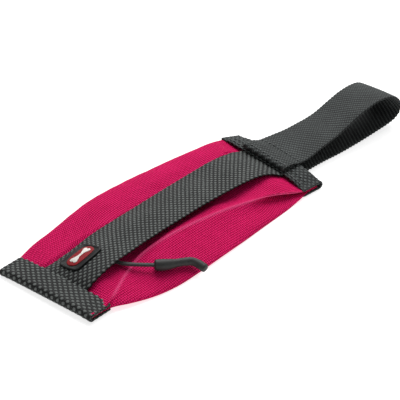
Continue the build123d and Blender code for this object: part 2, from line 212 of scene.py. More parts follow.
def weave(s, t, warp, weft, shift):
    """Height from 0 to 1 of webbing, s along the warp and t across it. Each warp yarn floats over a weft
    and dips under the next, and shift is how far its neighbour is out of step."""
    row = np.floor(t / warp + 0.001)    # a point on a row's edge stays in that row
    across = (t / warp - row - 0.5) * 2
    over = np.cos(math.pi * (s / weft + 2 * shift * row))
    yarn = np.sqrt(np.clip(1 - yarn_round * across ** 2, 0, 1)) * (yarn_mid + yarn_swing * over)
    under_yarn = weft_low + weft_swing * np.clip(-over, 0, 1)
    return np.maximum(yarn, under_yarn)


def ribbon(name, place, s, t, material, warp, weft, shift=0.5, depth=weave_depth):
    """A strip of webbing: place turns its flat coordinates into its middle surface."""
    flat_s, flat_t = np.meshgrid(s, t, indexing="ij")
    half_w = max(abs(t[0]), abs(t[-1]))
    edge = ease(np.abs(flat_t), half_w - selvedge, half_w)
    scallop = flat_t + np.sign(flat_t) * scallop_out * edge * np.cos(math.tau * flat_s / weft / 2)
    middle = place(flat_s, scallop)
    normal = unit(np.cross(np.gradient(middle, axis=0), np.gradient(middle, axis=1)))
    body = web_t / 2 * (1 - edge_thinning * edge) - depth
    top = weave(flat_s, flat_t, warp, weft, shift)
    bottom = weave(flat_s + weft, flat_t, warp, weft, shift)
    outer = middle + normal * (body + depth * top)[..., None]
    inner = middle - normal * (body + depth * bottom)[..., None]
    return skin(name, outer, inner, material, stack(flat_s, flat_t), (top, bottom))


def tube(name, line, radius, material, around=16, lobe=None):
    """A closed tube along a line of points, with a radius at each and a pole at both ends."""
    tangent = unit(np.gradient(line, axis=0))
    side = unit(np.cross(tangent[0], (0, 0, 1.0)))
    sides = []
    for way in tangent:
        side = unit(side - way * np.dot(side, way))
        sides.append(side)
    sides = np.array(sides)
    up = np.cross(tangent, sides)
    angle = np.linspace(0, math.tau, around, endpoint=False)
    along = run_along(line)
    shape = np.ones((len(line), around)) if lobe is None else lobe(along[:, None], angle[None])
    reach = radius[:, None] * shape
    rings = (line[:, None] + sides[:, None] * (reach * np.cos(angle))[..., None]
             + up[:, None] * (reach * np.sin(angle))[..., None])
    count = len(line) * around
    last = count - around
    faces = grid_quads(len(line), around, closed=True).tolist()
    faces += [[count, (j + 1) % around, j] for j in range(around)]
    faces += [[count + 1, last + j, last + (j + 1) % around] for j in range(around)]
    points = np.concatenate([rings.reshape(-1, 3), line[:1], line[-1:]])
    wrapped = stack(along[:, None], angle[None] * radius.max()).reshape(-1, 2)
    cut = np.concatenate([wrapped, np.zeros((2, 2))])
    return make_piece(name, points, faces, material, cut)


def slab(name, rings, height, place, material):
    """A moulded patch: outlines from its foot to its middle, at their heights over the surface it is on."""
    count = len(rings[0])
    points = np.concatenate([place(ring[:, 0], ring[:, 1], np.full(count, h))
                             for ring, h in zip(rings, height)])
    last = (len(rings) - 1) * count
    centre = place(np.zeros(1), np.zeros(1), np.array([height[-1]]))
    foot = place(np.zeros(1), np.zeros(1), np.array([height[0]]))
    pole = len(rings) * count
    faces = grid_quads(len(rings), count, closed=True).tolist()
    faces += [[pole, last + j, last + (j + 1) % count] for j in range(count)]
    faces += [[pole + 1, (j + 1) % count, j] for j in range(count)]
    return make_piece(name, np.concatenate([points, centre, foot]), faces, material)


def rounded(length, width, radius, count=96):
    """The outline of a rounded rectangle, length along x."""
    start, power = 0.01, 8    # starts just off the axis, and the power keeps the sides nearly straight
    angle = np.linspace(0, math.tau, count, endpoint=False) + start
    c, s = np.cos(angle), np.sin(angle)
    reach = 1 / np.power(np.power(np.abs(c), power) + np.power(np.abs(s), power), 1 / power)
    square = stack(c * reach, s * reach)
    core = square * ((length / 2 - radius), (width / 2 - radius))
    return core + radius * unit(square * (width, length) * 0.5 + square)


# a stitch's radius, how deep its ends go down, and how they taper and twist
thread_r, thread_dive, thread_taper, thread_twist = 0.34, 0.55, 0.35, 0.1


def thread_row(name, spots, ways, normals, length, material):
    """Sewn stitches: each is a short thread that rises from the material and goes back down."""
    along, around = 9, 8
    u = np.linspace(-1, 1, along)
    angle = np.linspace(0, math.tau, around, endpoint=False)
    points, faces = [], []
    for spot, way, normal in zip(spots, ways, normals):
        side = np.cross(normal, way)
        line = spot + way * (u * length / 2)[:, None] + normal * (thread_r - thread_dive * u ** 4)[:, None]
        girth = thread_r * (1 - thread_taper * u ** 4)
        twist = 1 + thread_twist * np.sin(2 * angle[None] + u[:, None] * 5)
        ring = (line[:, None] + side * (girth[:, None] * twist * np.cos(angle))[..., None]
                + normal * (girth[:, None] * twist * np.sin(angle))[..., None])
        base = len(points) * along * around
        last = base + (along - 1) * around
        points.append(ring.reshape(-1, 3))
        faces += grid_quads(along, around, base, closed=True).tolist()
        faces += [list(range(base, base + around)), list(range(last, last + around))]
    return make_piece(name, np.concatenate(points), faces, material)


# ---- materials ----
def linear(code):
    """An sRGB hex colour as linear values."""
    channels = [int(code[i:i + 2], 16) / 255 for i in (1, 3, 5)]
    return [c / 12.92 if c <= 0.04045 else ((c + 0.055) / 1.055) ** 2.4 for c in channels] + [1.0]


def add(tree, kind, links=None, **settings):
    """One node: settings are its properties or its inputs' values, links join its inputs to outputs or
    give a numbered input its value."""
    node = tree.nodes.new(kind)
    for key, value in settings.items():
        if key in node.bl_rna.properties:
            setattr(node, key, value)
        else:
            node.inputs[key.replace("_", " ")].default_value = value
    for key, source in (links or {}).items():
        if isinstance(source, bpy.types.NodeSocket):
            tree.links.new(node.inputs[key], source)
        else:
            node.inputs[key].default_value = source
    return node


def ramp(tree, source, stops):
    """Colours that follow a value, each at its own place from 0 to 1."""
    node = add(tree, "ShaderNodeValToRGB", {"Fac": source})
    bar = node.color_ramp.elements
    while len(bar) < len(stops):
        bar.new(0.5)
    for element, (place, code) in zip(bar, stops):
        element.position, element.color = place, linear(code)
    return node.outputs["Color"]


def new_material(name, **surface):
    """A material, its node tree and its shader with the given surface values."""
    material = bpy.data.materials.new(name)
    material.use_nodes = True
    tree = material.node_tree
    shader = tree.nodes["Principled BSDF"]
    for key, value in surface.items():
        shader.inputs[key.replace("_", " ")].default_value = value
    return material, tree, shader


def finish_material(tree, shader, colour, height, lift, strength=1.0):
    """Joins a material's colour and bump to its shader, the bump's lift in metres."""
    tree.links.new(shader.inputs["Base Color"], colour)
    bump = add(tree, "ShaderNodeBump", {"Height": height}, Distance=lift, Strength=strength)
    tree.links.new(shader.inputs["Normal"], bump.outputs["Normal"])


def webbing_material(name, dark, body, light):
    """Woven polyester webbing, piece-dyed, its colour following the yarns' crown height: dull painted shade
    in the gaps, soft painted highlights on the crown of each yarn.
    """
    material, tree, shader = new_material(name, Roughness=0.72, IOR=1.5, Sheen_Weight=0.05,
                                          Sheen_Roughness=0.5, Specular_IOR_Level=0.22)
    crown = add(tree, "ShaderNodeAttribute", attribute_name="crown").outputs["Fac"]
    place = add(tree, "ShaderNodeUVMap", uv_map="cut").outputs["UV"]
    # filaments about 0.12 mm across, drawn at 0.33 mm so that they show
    fibre = add(tree, "ShaderNodeMapping", {"Vector": place}, Scale=(0.8, 3.0, 1.0)).outputs["Vector"]
    fine = add(tree, "ShaderNodeTexNoise", {"Vector": fibre}, Scale=1.0, Detail=4.0).outputs["Fac"]
    broad = add(tree, "ShaderNodeTexNoise", {"Vector": place}, Scale=0.05, Detail=3.0).outputs["Fac"]
    fuzzy = add(tree, "ShaderNodeMath", {0: fine, 1: fine, 2: crown}, operation="MULTIPLY_ADD").outputs[0]
    uneven = add(tree, "ShaderNodeMath", {0: broad, 1: 0.3, 2: fuzzy}, operation="MULTIPLY_ADD").outputs[0]
    shade = add(tree, "ShaderNodeMath", {0: uneven, 1: 0.26}, operation="SUBTRACT").outputs[0]
    # painted shade in the gaps and painted highlights on the yarn crowns, from the crown height
    colour = ramp(tree, shade, [(0.28, dark), (0.6, body), (0.97, light)])
    finish_material(tree, shader, colour, fine, lift=0.00008, strength=0.6)
    return material


def cloth_material(name, dark, body, light, crease, pitch):
    """Plain-woven polyester canvas, coated inside: a lattice of round thread crowns with a soft sheen.
    Its threads are 0.7 mm apart, and pitch is the wider spacing that they are drawn at so that they show.
    Its colour follows the thread relief: painted shade between the threads and painted highlights on their
    crowns, with random slubs and tone."""
    material, tree, shader = new_material(name, Roughness=0.7, IOR=1.5, Sheen_Weight=0.02,
                                          Sheen_Roughness=0.4, Specular_IOR_Level=0.05)
    shader.inputs["Sheen Tint"].default_value = linear("#FF9CC0")
    place = add(tree, "ShaderNodeUVMap", uv_map="cut").outputs["UV"]
    parts = add(tree, "ShaderNodeSeparateXYZ", {0: place})
    waves = []
    for axis in ("X", "Y"):
        turn = add(tree, "ShaderNodeMath", {0: parts.outputs[axis], 1: math.pi / pitch}, operation="MULTIPLY")
        waves.append(add(tree, "ShaderNodeMath", {0: turn.outputs[0]}, operation="SINE").outputs[0])
    both = add(tree, "ShaderNodeMath", {0: waves[0], 1: waves[1]}, operation="MULTIPLY").outputs[0]
    squares = [add(tree, "ShaderNodeMath", {0: w, 1: w}, operation="MULTIPLY").outputs[0] for w in waves]
    side = add(tree, "ShaderNodeMath", {0: both, 1: 3.0, 2: 0.5}, operation="MULTIPLY_ADD", use_clamp=True)
    height = add(tree, "ShaderNodeMix", {"Factor": side.outputs[0], "A": squares[0], "B": squares[1]})
    relief = height.outputs["Result"]
    broad = add(tree, "ShaderNodeTexNoise", {"Vector": place}, Scale=0.03, Detail=3.0).outputs["Fac"]
    slub_place = add(tree, "ShaderNodeMapping", {"Vector": place}, Scale=(0.08, 1.1, 1.0)).outputs["Vector"]
    slub = add(tree, "ShaderNodeTexNoise", {"Vector": slub_place}, Scale=1.0, Detail=2.0).outputs["Fac"]
    mixed = add(tree, "ShaderNodeMath", {0: slub, 1: 0.35, 2: relief}, operation="MULTIPLY_ADD").outputs[0]
    toned = add(tree, "ShaderNodeMath", {0: broad, 1: 0.4, 2: mixed}, operation="MULTIPLY_ADD").outputs[0]
    shade = add(tree, "ShaderNodeMath", {0: toned, 1: 0.36}, operation="SUBTRACT").outputs[0]
    # painted shade between the threads and painted highlights on their crowns, mixed with random slubs and
    # tone
    dyed_with_painted_light = ramp(tree, shade, [(0.0, dark), (0.5, body), (1.0, light)])
    # painted highlight: the sewn-in crease is painted paler along its edge
    painted_highlight_mask = add(tree, "ShaderNodeAttribute", attribute_name="crown").outputs["Fac"]
    painted_highlight_share = add(tree, "ShaderNodeMath", {0: painted_highlight_mask, 1: 0.65}, operation="MULTIPLY").outputs[0]
    # sockets 6 and 7 are the two colours of a colour mix, and 2 is its result
    colour = add(tree, "ShaderNodeMix", {"Factor": painted_highlight_share, 6: dyed_with_painted_light, 7: linear(crease)}, data_type="RGBA")
    finish_material(tree, shader, colour.outputs[2], relief, lift=0.00026, strength=1.0)
    return material


def plain_material(name, light, deep, grains, bump, **surface):
    """A moulded, dyed or spun surface in two close tones, with so many grains to a millimetre and a bump in
    millimetres."""
    material, tree, shader = new_material(name, **surface)
    place = add(tree, "ShaderNodeTexCoord").outputs["Object"]
    noise = add(tree, "ShaderNodeTexNoise", {"Vector": place}, Scale=grains / MM, Detail=4.0).outputs["Fac"]
    colour = ramp(tree, noise, [(0.3, deep), (0.7, light)])
    finish_material(tree, shader, colour, noise, lift=bump * MM)
    return material


thread_drawn = 1.35                 # millimetres from one drawn canvas thread to the next
# piece-dyed webbing: painted shade nearly black in its gaps, a dull grey painted highlight on its crowns
webbing = webbing_material("woven_polyester_webbing", "#030303", "#0B0D0D", "#646866")
# the same yarn, woven finer in the hand loop; this copy, for the hand loop and the far binding, has less
# black painted shade in its gaps and a dimmer painted highlight on its crowns
loop_webbing = webbing_material("woven_polyester_webbing_loop", "#0A0C0C", "#171A1A", "#505554")
# dyed and calendered canvas: strong crimson, with painted shade between the threads, painted highlights on
# their crowns as a grid of tiny dots, and a painted highlight along the crease
canvas = cloth_material("woven_polyester_canvas", "#88002F", "#D00050", "#EA2874", "#F0568E", thread_drawn)
# synthetic rubber from a spark-eroded mould, its grit about 1.1 mm as drawn: matt, no clear highlight
rubber = plain_material("moulded_rubber_black", "#181918", "#101110", 0.9, 0.04,
                        Roughness=0.6, IOR=1.52, Specular_IOR_Level=0.25)
# the same rubber, filled with red: darker than paint, with a dull face
red_rubber = plain_material("moulded_rubber_red", "#97141F", "#780E17", 0.7, 0.03,
                            Roughness=0.6, IOR=1.5, Specular_IOR_Level=0.2)
# the same rubber, filled with white: off-white and a little smoother
white_rubber = plain_material("moulded_rubber_white", "#E9E6E0", "#D6D2CA", 0.7, 0.03,
                              Roughness=0.45, IOR=1.52)
# injection-moulded soft vinyl: dark grey, with a broad soft highlight
sleeve_plastic = plain_material("moulded_soft_vinyl", "#303130", "#232423", 0.5, 0.06,
                                Roughness=0.58, IOR=1.53, Specular_IOR_Level=0.35)
# braided nylon: black, dulled by its fine filaments, which catch a little light at the sides
cord_material = plain_material("braided_nylon_cord", "#2E2F2F", "#161717", 1.5, 0.15,
                               Roughness=0.7, IOR=1.53, Sheen_Weight=0.2)
# bonded polyester sewing thread: grey, smoother and paler than the webbing it is sewn in
thread = plain_material("bonded_polyester_thread", "#565B5B", "#3A3E3F", 2.5, 0.05,
                        Roughness=0.5, IOR=1.5, Sheen_Weight=0.2)
# the same thread, dyed to the canvas
canvas_thread = plain_material("polyester_thread_crimson", "#C21A56", "#8E0A3A", 2.5, 0.05,
                               Roughness=0.5, IOR=1.5)
# warp-knitted polyester tape: flat and matt, almost black
tape = plain_material("knitted_zip_tape", "#2B2C2D", "#151616", 1.8, 0.1, Roughness=0.8, IOR=1.5)
# extruded nylon monofilament, wound into a coil: black with small clear glints
nylon = plain_material("nylon_coil", "#2A2A2B", "#1A1A1B", 1.2, 0.02, Roughness=0.35, IOR=1.53)
# die-cast zinc under stoved black enamel: a soft coated gloss
enamel = plain_material("die_cast_zinc_black_enamel", "#2C2D2E", "#1C1D1E", 0.8, 0.02,
                        Roughness=0.32, IOR=1.5, Coat_Weight=0.3, Coat_Roughness=0.2)
# polyurethane film laid on cloth: dark crimson and wipe-clean smooth
film = plain_material("coated_lining", "#8E1238", "#6E0A2A", 0.3, 0.1, Roughness=0.4, IOR=1.5)

for node, material in {"zip_teeth_left": nylon, "zip_teeth_right": nylon, "zip_top_stops": enamel,
                       "zip_bottom_stop": enamel, "zip_slider": enamel, "slider_bridge": enamel,
                       "pull_tab": enamel, "zip_stitches": canvas_thread}.items():
    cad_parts[node].data.materials.clear()
    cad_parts[node].data.materials.append(material)

# ---- zip pull: cord, then the moulded sleeve on it ----
route = [(-54.98, -10.91, 11.05), (-54.11, -15.82, 11.50), (-51.78, -20.31, 11.45), (-46.08, -26.11, 11.05),
         (-36.58, -33.41, 9.55), (-26.08, -37.41, 8.45), (-19.48, -40.81, 7.55), (-18.98, -47.81, 5.65)]
cord_d, cord_tip_r, cord_fineness = 2.5, 0.6, 43
waist_in, groove_in, groove_w = 0.24, 0.14, 0.22    # the cord's section, as shares of its radius
braid_out, braid_pitch = 0.05, 1.6


def nurbs_line(points):
    """The smooth line that a cord takes past its control points, in millimetres."""
    data = bpy.data.curves.new("line", "CURVE")
    data.dimensions = "3D"
    spline = data.splines.new("NURBS")
    spline.points.add(len(points) - 1)
    for point, (x, y, z) in zip(spline.points, points):
        point.co = (x * MM, y * MM, z * MM, 1)
    spline.order_u, spline.use_endpoint_u, spline.resolution_u = 3, True, cord_fineness
    holder = bpy.data.objects.new("line", data)
    scene.collection.objects.link(holder)
    bpy.context.view_layer.update()
    mesh = bpy.data.meshes.new_from_object(holder)
    line = np.array([v.co for v in mesh.vertices], float) / MM
    bpy.data.objects.remove(holder)
    bpy.data.meshes.remove(mesh)
    return line


cord_line = nurbs_line(route)


def two_strand(along, angle):
    """Two braided strands side by side: a waist between them, and a fine herringbone on each."""
    groove = groove_in * np.exp(-np.square(np.cos(angle) / groove_w))
    waist = 1 - waist_in * np.square(np.sin(angle)) - groove
    step = math.tau * along / braid_pitch
    return waist + braid_out * np.sin(3 * angle + step) * np.sin(3 * angle - step)


cord_run = run_along(cord_line)
cord_radius = np.full(len(cord_line), cord_d / 2)
cord_radius[0] = cord_radius[-1] = cord_tip_r
cord = tube("pull_cord_braid", cord_line, cord_radius, cord_material, 28, two_strand)

grip_start = 24.5    # along the cord, where the sleeve begins
sleeve_end = cord_line[-1] + np.linspace(0.15, 1.2, 6)[:, None] * unit(cord_line[-1] - cord_line[-4])
sleeve_line = np.concatenate([cord_line[cord_run >= grip_start], sleeve_end])
run = run_along(sleeve_line)
sleeve_radius = through([0, 0.25, 0.7, 1.3, 7.5, 9.0, 12, 20, 26, 29, run[-1] - 1.1, run[-1] - 0.35, run[-1]],
                        [1.5, 2.55, 3.0, 3.1, 3.1, 2.95, 2.5, 2.4, 2.45, 2.5, 2.35, 1.8, 0.4], run)
sleeve = tube("pull_sleeve_moulded", sleeve_line, sleeve_radius, sleeve_plastic, 40)

# ---- how the cover strap runs: at each station, its underside, its side slopes and its shift aside ----
strap_x = [-94, -83, -80, -77, -72, -67, -63, -58, -50, -38, -20, 0, 20, 40, 55, 66, 74, 80, 83, 94]
strap_under = [2.55, 2.55, 4.2, 5.9, 8.0, 9.9, 11.0, 12.0, 12.9, 13.6, 14.2, 14.4, 14.6, 14.6, 13.6, 11.6,
               9.2, 6.2, 5.05, 5.05]
strap_right = [0, 0, 0.05, 0.09, 0.13, 0.14, 0.14, 0.13, 0.09, 0.05, 0, -0.02, -0.03, -0.03, -0.02, 0,
               0, 0, 0, 0]
strap_left = [0, 0, 0.05, 0.1, 0.17, 0.22, 0.25, 0.28, 0.3, 0.31, 0.31, 0.29, 0.25, 0.22, 0.19, 0.16,
              0.12, 0.05, 0, 0]
strap_aside = [0, 0, -0.3, -0.8, -1.5, -2.0, -2.2, -2.1, -1.7, -1.0, -0.3, 0.3, 0.9, 1.2, 1.2, 1.0,
               0.6, 0.2, 0, 0]
ridge_round = 3.0                   # how softly its two side slopes meet along the middle
curl_down, sag_down, pulled_in = 1.2, 0.3, 0.06
sag_length, sag_seed = 46, 11


def strap_middle(x, t):
    """The strap arches over the zip, its -Y side raised and its +Y side hugging the pouch."""
    high = through(strap_x, strap_under, x) + web_t / 2
    softened = np.sqrt(t * t + ridge_round ** 2)
    left, right = (t + softened) / 2 - ridge_round / 2, (-t + softened) / 2 - ridge_round / 2
    tilt = through(strap_x, strap_right, x) * right - through(strap_x, strap_left, x) * left
    loose = ease(-np.abs(x), -half_l, -60)
    curl = curl_down * ease(t, 11, 19) * ease(x, -82, -74) * (1 - ease(x, -62, -40))
    sag = sag_down * ripple(x, t, sag_length, sag_seed) * loose
    narrow = 1 - pulled_in * ease(x, -50, -10) * (1 - ease(x, 62, 80))
    return settle(stack(x, t * narrow + through(strap_x, strap_aside, x), high + tilt - curl + sag))


# ---- pouch: one woven tube, sewn flat at both ends, open along the zip, with its near gusset spread ----
slot_half, lip = 4.6, 0.5           # half the opening beside the teeth, and the turned edge there
rim_y, rim_z = 0.683, 0.730         # the way the far edge leans out, as one direction
pressed_t = 0.45                    # the cloth's thickness where a binding presses it
stations = np.linspace(-94, 94, 236)
table_x = [-94, -84, -80, -70, -58, -38, -18, 2, 22, 42, 62, 74, 80, 84, 94]


def along_pouch(*values, at=table_x):
    """A measure of the pouch at every station, smooth through its values at the stations of a table."""
    return through(at, values, stations)


crease_y = along_pouch(-34.2, -34.2, -33.2, -29, -23.4, -17.4, -17.0, -18.2, -20.6, -24.2, -28.4, -32.2,
                       -34.0, -34.2, -34.2)
crease_z = along_pouch(4.15, 4.15, 5.2, 6.6, 7.8, 10.4, 12, 12.2, 11.6, 10.6, 8.8, 7.0, 6.0, 5.2, 5.0)
foot_y = along_pouch(-34.2, -34.3, -35, -38.5, -41.8, -44.6, -44.2, -42.8, -41, -38.8, -37.0, -35.9,
                     -35.2, -34.3, -34.2)
foot_z = along_pouch(1.7, 1.8, 2.2, 2.4, 2.4, 2.2, 2.2, 2.2, 2.2, 2.4, 2.8, 3.2, 3.4, 3.3, 3.3)
tuck = along_pouch(5, 4, 2.2, 0.3, -0.8, -1, -0.6, 0, 1.0, 4.0, 9.5, 11.5, 9.5, 7, 5)
rim_reach = along_pouch(26.2, 26.2, 27.4, 29.6, 31.6, 34.6, 36.9, 37.1, 36.0, 34.6, 31.6, 29.5, 28.4, 28, 28)
edge_r = along_pouch(1.25, 1.25, 1.5, 2.2, 3.4, 4.9, 5.7, 6.2, 6, 5.5, 4.6, 3, 1.7, 1.0, 0.9)
edge_z = along_pouch(2.9, 2.9, 2.9, 3.3, 4.3, 5.7, 6.5, 6.9, 7, 6.8, 6.4, 5.6, 4.8, 4.3, 4.3)
valley = along_pouch(2.45, 2.45, 3.6, 4.9, 7.6, 8.9, 9.1, 8.9, 8.9, 8.9, 9.1, 8.2, 6.4, 5.6, 4.9, 4.9,
                     at=[-94, -82, -80, -78, -74, -71, -67, -60, 0, 60, 71, 74, 78, 80, 82, 94])
under = along_pouch(1.65, 1.65, 0.25, 0.15, 0.25, 3.25, 3.25, at=[-94, -83, -66, 0, 66, 83, 94])
dip = along_pouch(0, 0, 0, -0.2, -0.8, -1.2, -1.0, 0, at=[-94, -80, -68, -56, -40, 0, 60, 78])
shift_y = drift(stations)
crease, foot = crease_y - shift_y, foot_y - shift_y
edge_y = (rim_reach - edge_r - rim_z * edge_z) / rim_y - shift_y
inset = np.minimum(16.8, -crease - 2.6)
between, mean_z = (crease + foot) / 2 + tuck, (crease_z + foot_z) / 2
beside = np.minimum(valley, edge_z + edge_r + 0.3)
climb = 0.65 - 0.3 * ease(stations, -5, 25)    # the cloth sags behind the crease
crest = 3.2 * ease(stations, -38, -12) * (1 - ease(stations, 22, 42))    # the cloth stands up to the strap
hollow_y = (-inset + crease) / 2
hollow_z = valley * (1 - climb) + crease_z * climb + 0.1 + 0.35 * crest
back_y, back_z = edge_y - edge_r * 1.4, edge_z + edge_r * 0.98
section = [
    # from the zip's -Y lip, over the cloth under the strap
    (-slot_half, valley), (-slot_half - lip, valley), (-9, valley + 0.3 * crest),
    (-inset, valley + 0.1 + crest), (hollow_y, hollow_z),
    # the gusset's crease
    (crease + 1.3, crease_z + 0.2), (crease + 0.2, crease_z + 0.1), (crease - 0.1, crease_z - 0.5),
    # the gusset's side, down to its foot
    (crease * 0.8 + foot * 0.2 + tuck * 0.5, crease_z * 0.78 + foot_z * 0.22), (between, mean_z - 0.3),
    (crease * 0.2 + foot * 0.8 + tuck * 0.5, crease_z * 0.24 + foot_z * 0.76),
    (foot + 0.5, foot_z + 0.3), (foot, foot_z * 0.55 + under * 0.45),
    # the underside
    (foot + 1.0, under), (foot + 7, under), (-18, under), (0, under), (18, under), (edge_y - 3, under),
    # the rolled far edge
    (edge_y + edge_r * 0.8, under + 0.3), (edge_y + edge_r * 1.15, edge_z - edge_r * 0.25),
    (edge_y + edge_r * 1.0, edge_z + edge_r * 0.75), (edge_y + edge_r * 0.1, edge_z + edge_r * 1.05),
    (back_y, back_z),
    # the far panel, up to the zip's +Y lip
    (back_y * 0.5 + 9.2, (edge_z + edge_r) * 0.5 + beside * 0.5 - 0.2 - 0.5 * dip),
    (17.5, beside + 0.1 - dip), (9, valley), (slot_half + lip, valley), (slot_half, valley),
]
polygon = np.stack([stack(stations, y, z) for y, z in section], 1)
polygon = np.concatenate([polygon[:, :1], polygon, polygon[:, -1:]], 1)
# each section is one smooth cubic curve past its control points
round_points = 172
spans = polygon.shape[1] - 3
at = np.linspace(0, spans, round_points)
at_i = np.minimum(at.astype(int), spans - 1)
u = (at - at_i)[None, :, None]
pouch_outer = ((1 - u) ** 3 * polygon[:, at_i] + (3 * u ** 3 - 6 * u ** 2 + 4) * polygon[:, at_i + 1]
               + (-3 * u ** 3 + 3 * u ** 2 + 3 * u + 1) * polygon[:, at_i + 2]
               + u ** 3 * polygon[:, at_i + 3]) / 6
nearest = (np.square(pouch_outer[..., 1] - crease[:, None])
           + np.square(pouch_outer[..., 2] - crease_z[:, None]))
crease_seen = ease(stations, -82, -70) * (1 - ease(stations, 76, 84))
# fold: how near each point is to the crease, which the canvas material paints paler as a painted highlight
fold = np.exp(-nearest / 0.8) * crease_seen[:, None]
around = np.concatenate([np.zeros((len(stations), 1)),
                         np.cumsum(np.linalg.norm(np.diff(pouch_outer, axis=1), axis=2), axis=1)], 1)
pouch_cut = stack(stations[:, None], around)
pouch_normal = unit(np.cross(np.gradient(pouch_outer, axis=1), np.gradient(pouch_outer, axis=0)))
if pouch_normal[len(stations) // 2, round_points // 2, 2] > 0:    # a point of the underside faces down
    pouch_normal = -pouch_normal
free_along = (ease(stations, -80, -66) * (1 - ease(stations, 66, 80)))[:, None]
free = free_along * ease(np.abs(pouch_outer[..., 1]), 17, 24) * ease(pouch_outer[..., 2], 1.0, 3.0)
swell = (0.38 * ripple(pouch_cut[..., 0], pouch_cut[..., 1], 34, 3)
         + 0.14 * ripple(pouch_cut[..., 0], pouch_cut[..., 1], 13, 5))
pouch_outer = pouch_outer + pouch_normal * (free * swell)[..., None]
full_t = ease(stations, -82, -74) * (1 - ease(stations, 74, 82))
wall = (pressed_t + (cloth_t - pressed_t) * full_t)[:, None, None]
pouch_inner = pouch_outer - pouch_normal * wall


def settle_cloth(p):
    """The pouch bows sideways with the rest, but its zip stays straight on the teeth."""
    bowed, weight = settle(p), ease(np.abs(p[..., 1]), 8, 20)[..., None]
    ends = ease(np.abs(p[..., 0]), 74, 84)[..., None]
    weight = np.maximum(weight, ends)
    kept = p + stack(np.zeros(p.shape[:-1]), np.zeros(p.shape[:-1]), lie(p[..., 0], p[..., 1]))
    return kept + (bowed - kept) * weight


strap_half, strap_rows, strap_columns = 93, 187, 37
strap_gap, clear_slope = 0.3, 1.6   # from the strap down to the cloth, and how fast it is free beside it
strap_s, strap_t = np.meshgrid(np.linspace(-strap_half, strap_half, strap_rows),
                               np.linspace(-18, 18, strap_columns), indexing="ij")
strap_seen = strap_middle(strap_s, strap_t)


def strap_floor(x, y):
    """Height of the strap's underside over a point of the pouch, rising steeply beside the strap."""
    row = np.clip(np.rint(x + strap_half), 0, strap_rows - 1).astype(int)
    ys, zs = strap_seen[row, :, 1], strap_seen[row, :, 2] - web_t / 2
    last = strap_columns - 1
    place = np.clip((y - ys[..., 0]) / (ys[..., -1] - ys[..., 0]) * last, 0, last)
    below = np.minimum(place.astype(int), last - 1)
    part = place - below
    take = np.take_along_axis
    height = (take(zs, below[..., None], -1)[..., 0] * (1 - part)
              + take(zs, below[..., None] + 1, -1)[..., 0] * part)
    outside = np.maximum(ys[..., 0] - y, 0) + np.maximum(y - ys[..., -1], 0)
    return height + outside * clear_slope


def press(p, gap):
    """Cloth under the strap stays just below it. The pouch's underside is left where it is."""
    underside = 2.4
    limit = strap_floor(p[..., 0], p[..., 1]) - gap
    over = np.clip(p[..., 2] - limit, 0, None) * (p[..., 2] > underside)
    return p - stack(np.zeros_like(over), np.zeros_like(over), over)


pouch_top = press(settle_cloth(pouch_outer), strap_gap)
lowered = (settle_cloth(pouch_outer) - pouch_top)
pouch = skin("pouch_canvas", pouch_top, settle_cloth(pouch_inner) - lowered, canvas, pouch_cut, (fold, fold))


tape_in, tape_out, tape_z, tape_t = 3.0, 13.0, 7.75, 0.55
tape_gap = 1.35                     # from the strap down to a tape, under the cloth


def tape_sheet(side):
    """One woven zip tape: flat beside the teeth, then following the cloth down."""
    x, y = np.meshgrid(np.linspace(-67.5, 52.5, 90), np.linspace(tape_in, tape_out, 14) * side, indexing="ij")
    flat = np.stack([x, y, np.full_like(x, tape_z)], -1)
    eased = press(flat, tape_gap)
    keep = ease(np.abs(y), 3.5, 6)[..., None]
    top = flat + (eased - flat) * keep
    return top, top - np.array([0, 0, tape_t]), stack(x, y)


# ---- lining: a coated film on the pocket's floor ----
film_half, film_columns, film_t, film_over = 68, 40, 0.25, 0.6
mid = np.abs(stations) < film_half
film_share = np.linspace(0, 1, film_columns)[None]
film_x = np.broadcast_to(stations[mid][:, None], (mid.sum(), film_columns))
film_y = (foot[mid] + 4)[:, None] * (1 - film_share) + (edge_y[mid] + 0.5)[:, None] * film_share
film_z = np.broadcast_to((under[mid] + cloth_t + film_over)[:, None], film_x.shape)
film_top = stack(film_x, film_y, film_z)
lining = skin("lining_film", settle_cloth(film_top), settle_cloth(film_top - np.array([0, 0, film_t])), film,
              stack(film_x, film_y))

tapes = []
for side, node in ((-1, "zip_tape_left"), (1, "zip_tape_right")):
    upper, lower, flat_cut = tape_sheet(side)
    tapes.append(skin(node + "_woven", upper, lower, tape, flat_cut))


# ---- bindings: webbing folded over each end of the pouch ----
near_stack, far_stack = 5.8, 6.6                      # how tall each folded end is
near_inward = 0.9                                     # how far the near one stops short of the end
edge_squash, middle_rise, waver = 1.3, 0.25, 0.12
fold_w = web_w - 1                                    # the webbing that goes round an end


def folded(y, t, stack_h, inward=0.0):
    """The middle of webbing folded round an end: t from the lower edge round the fold to the upper edge."""
    off_middle = np.abs(y)
    tall = (stack_h - edge_squash * ease(off_middle, 25, 35) + middle_rise * (1 - ease(off_middle, 15, 21))
            + waver * np.sin(y / 4.1) * ease(off_middle, 17, 22))
    turn_r = tall / 2 - web_t / 2
    straight = (fold_w - math.pi * turn_r) / 2
    go = t + fold_w / 2
    angle = np.clip((go - straight) / turn_r, 0, math.pi)
    out = end_x - inward - tall / 2 + turn_r * np.sin(angle)
    out = out - np.clip(straight - go, 0, None) - np.clip(go - straight - math.pi * turn_r, 0, None)
    return out, tall / 2 - turn_r * np.cos(angle)


def near_place(s, t):
    """The near binding's middle surface, s across the pouch."""
    out, z = folded(s, t, near_stack, near_inward)
    return settle(stack(-out, s, z))


def far_place(s, t):
    """The far binding's, a webbing's thickness higher, over the loop's lower end."""
    out, z = folded(s, t, far_stack)
    return settle(stack(out, s, z + web_t))


